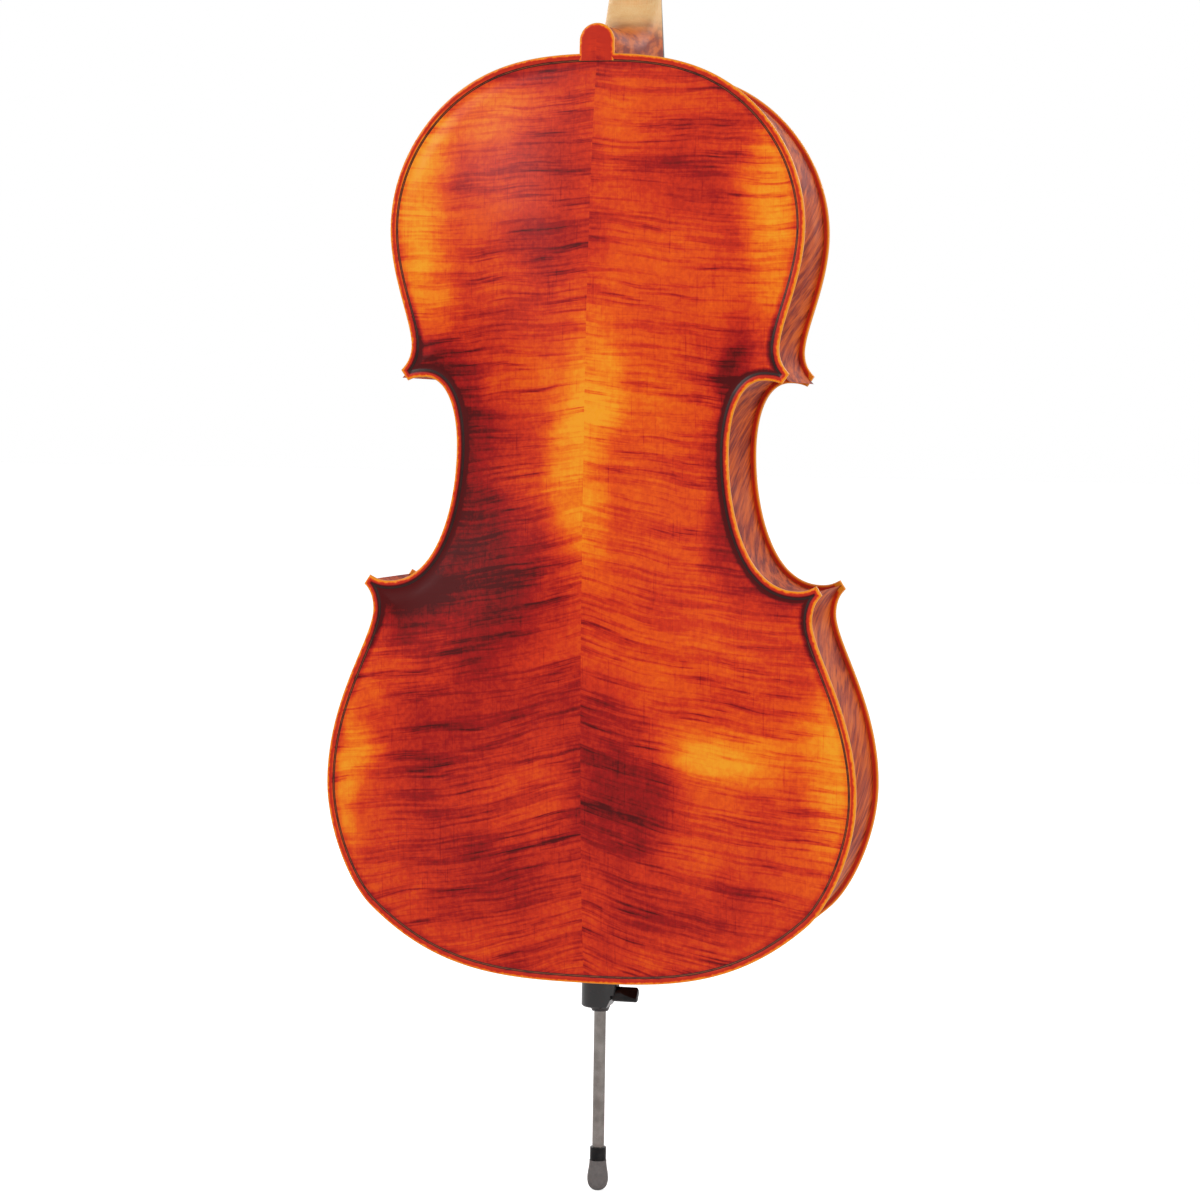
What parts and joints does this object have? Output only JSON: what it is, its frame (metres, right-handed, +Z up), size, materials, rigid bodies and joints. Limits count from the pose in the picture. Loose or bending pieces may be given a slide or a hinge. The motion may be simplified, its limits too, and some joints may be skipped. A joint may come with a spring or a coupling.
{
  "type": "cello",
  "caption": "Full-size cello standing upright on its drawn-out endpin, with flamed two-piece back, arched top, turning pegs, fine tuners and a sliding, clamped endpin.",
  "frame": {"origin": "where the endpin's rubber tip meets the floor, on the endpin's axis", "axes": "+Z up along the body and the endpin, -Y towards the front (the strings), +Y towards the back, +X towards the treble side (the A string)"},
  "size_m": [0.445, 0.2598, 1.4053],
  "materials": {
    "flamed_maple_back": "glossy antiqued red-orange varnish over flamed maple",
    "spruce_top": "glossy orange-red varnish over straight-grained spruce",
    "purfling": "three thin plies, dark outside and pale in the middle",
    "flamed_maple_ribs": "glossy brown-orange varnish over flamed maple",
    "bare_spruce": "unvarnished",
    "neck_maple": "oiled pale maple, varnished red-brown at the heel, pegbox and scroll",
    "ebony": "polished ebony",
    "bridge_maple": "unvarnished maple",
    "black_composite": "black, satin",
    "tail_cord": "black cord",
    "brass": "turned",
    "steel_string": "wound steel",
    "black_metal": "black, satin",
    "endpin_steel": "ground steel",
    "rubber": "dull grey-black rubber"
  },
  "bodies": {
    "instrument": {"back_bass_half": "flamed_maple_back", "back_treble_half": "flamed_maple_back", "top_bass_half": "spruce_top", "top_treble_half": "spruce_top", "back_purfling": "purfling", "top_purfling": "purfling", "rib_upper_bass": "flamed_maple_ribs", "rib_upper_treble": "flamed_maple_ribs", "rib_waist_bass": "flamed_maple_ribs", "rib_waist_treble": "flamed_maple_ribs", "rib_lower_bass": "flamed_maple_ribs", "rib_lower_treble": "flamed_maple_ribs", "top_block": "bare_spruce", "bottom_block": "bare_spruce", "corner_blocks": "bare_spruce", "top_linings": "bare_spruce", "back_linings": "bare_spruce", "bass_bar": "bare_spruce", "sound_post": "bare_spruce", "neck_and_scroll": "neck_maple", "fingerboard": "ebony", "nut": "ebony", "saddle": "ebony", "bridge": "bridge_maple", "tailpiece": "black_composite", "tail_gut": "tail_cord", "tail_gut_nuts": "brass", "tuner_pins": "black_metal", "string_c": "steel_string", "string_g": "steel_string", "string_d": "steel_string", "string_a": "steel_string", "endpin_socket": "black_composite"},
    "endpin": {"endpin_rod": "endpin_steel", "endpin_ferrule": "black_metal", "endpin_tip": "rubber"},
    "endpin_clamp": {"endpin_thumb_screw": "black_metal"},
    "peg_c_turn": {"peg_c": "ebony", "string_c_winding": "steel_string"},
    "peg_g_turn": {"peg_g": "ebony", "string_g_winding": "steel_string"},
    "peg_d_turn": {"peg_d": "ebony", "string_d_winding": "steel_string"},
    "peg_a_turn": {"peg_a": "ebony", "string_a_winding": "steel_string"},
    "tuner_screw_c_turn": {"tuner_screw_c": "black_metal"},
    "tuner_lever_c_rock": {"tuner_lever_c": "black_metal", "string_c_ball": "steel_string"},
    "tuner_screw_g_turn": {"tuner_screw_g": "black_metal"},
    "tuner_lever_g_rock": {"tuner_lever_g": "black_metal", "string_g_ball": "steel_string"},
    "tuner_screw_d_turn": {"tuner_screw_d": "black_metal"},
    "tuner_lever_d_rock": {"tuner_lever_d": "black_metal", "string_d_ball": "steel_string"},
    "tuner_screw_a_turn": {"tuner_screw_a": "black_metal"},
    "tuner_lever_a_rock": {"tuner_lever_a": "black_metal", "string_a_ball": "steel_string"}
  },
  "joints": [
    {"name": "endpin_slide", "type": "slide", "parent": "instrument", "child": "endpin", "axis": [0, 0, -1], "range_m": [-0.112, 0.2]},
    {"name": "endpin_clamp_turn", "type": "hinge", "parent": "instrument", "child": "endpin_clamp", "pos_m": [0, 0, 0.1665], "axis": [1, 0, 0], "range_deg": [0, 720]},
    {"name": "peg_c_turn", "type": "hinge", "parent": "instrument", "child": "peg_c_turn", "pos_m": [0, -0.02039, 1.23472], "axis": [1, 0, 0], "continuous": true},
    {"name": "peg_g_turn", "type": "hinge", "parent": "instrument", "child": "peg_g_turn", "pos_m": [0, -0.00344, 1.28865], "axis": [1, 0, 0], "continuous": true},
    {"name": "peg_d_turn", "type": "hinge", "parent": "instrument", "child": "peg_d_turn", "pos_m": [0, 0.00472, 1.31465], "axis": [1, 0, 0], "continuous": true},
    {"name": "peg_a_turn", "type": "hinge", "parent": "instrument", "child": "peg_a_turn", "pos_m": [0, -0.01222, 1.26072], "axis": [1, 0, 0], "continuous": true},
    {"name": "tuner_screw_c_turn", "type": "hinge", "parent": "instrument", "child": "tuner_screw_c_turn", "pos_m": [-0.0219, -0.13335, 0.37947], "axis": [0, 0.9582, 0.2863], "range_deg": [0, 990]},
    {"name": "tuner_lever_c_rock", "type": "hinge", "parent": "instrument", "child": "tuner_lever_c_rock", "pos_m": [-0.0219, -0.13796, 0.4094], "axis": [1, 0, 0], "range_deg": [0, 4]},
    {"name": "tuner_screw_g_turn", "type": "hinge", "parent": "instrument", "child": "tuner_screw_g_turn", "pos_m": [-0.0073, -0.13749, 0.37823], "axis": [0, 0.9582, 0.2863], "range_deg": [0, 990]},
    {"name": "tuner_lever_g_rock", "type": "hinge", "parent": "instrument", "child": "tuner_lever_g_rock", "pos_m": [-0.0073, -0.14211, 0.40816], "axis": [1, 0, 0], "range_deg": [0, 4]},
    {"name": "tuner_screw_d_turn", "type": "hinge", "parent": "instrument", "child": "tuner_screw_d_turn", "pos_m": [0.0073, -0.13749, 0.37823], "axis": [0, 0.9582, 0.2863], "range_deg": [0, 990]},
    {"name": "tuner_lever_d_rock", "type": "hinge", "parent": "instrument", "child": "tuner_lever_d_rock", "pos_m": [0.0073, -0.14211, 0.40816], "axis": [1, 0, 0], "range_deg": [0, 4]},
    {"name": "tuner_screw_a_turn", "type": "hinge", "parent": "instrument", "child": "tuner_screw_a_turn", "pos_m": [0.0219, -0.13335, 0.37947], "axis": [0, 0.9582, 0.2863], "range_deg": [0, 990]},
    {"name": "tuner_lever_a_rock", "type": "hinge", "parent": "instrument", "child": "tuner_lever_a_rock", "pos_m": [0.0219, -0.13796, 0.4094], "axis": [1, 0, 0], "range_deg": [0, 4]}
  ],
  "couplings": [
    {"joint": "tuner_lever_c_rock", "follows": "tuner_screw_c_turn", "ratio": 0.003714},
    {"joint": "tuner_lever_g_rock", "follows": "tuner_screw_g_turn", "ratio": 0.003714},
    {"joint": "tuner_lever_d_rock", "follows": "tuner_screw_d_turn", "ratio": 0.003714},
    {"joint": "tuner_lever_a_rock", "follows": "tuner_screw_a_turn", "ratio": 0.003714}
  ]
}
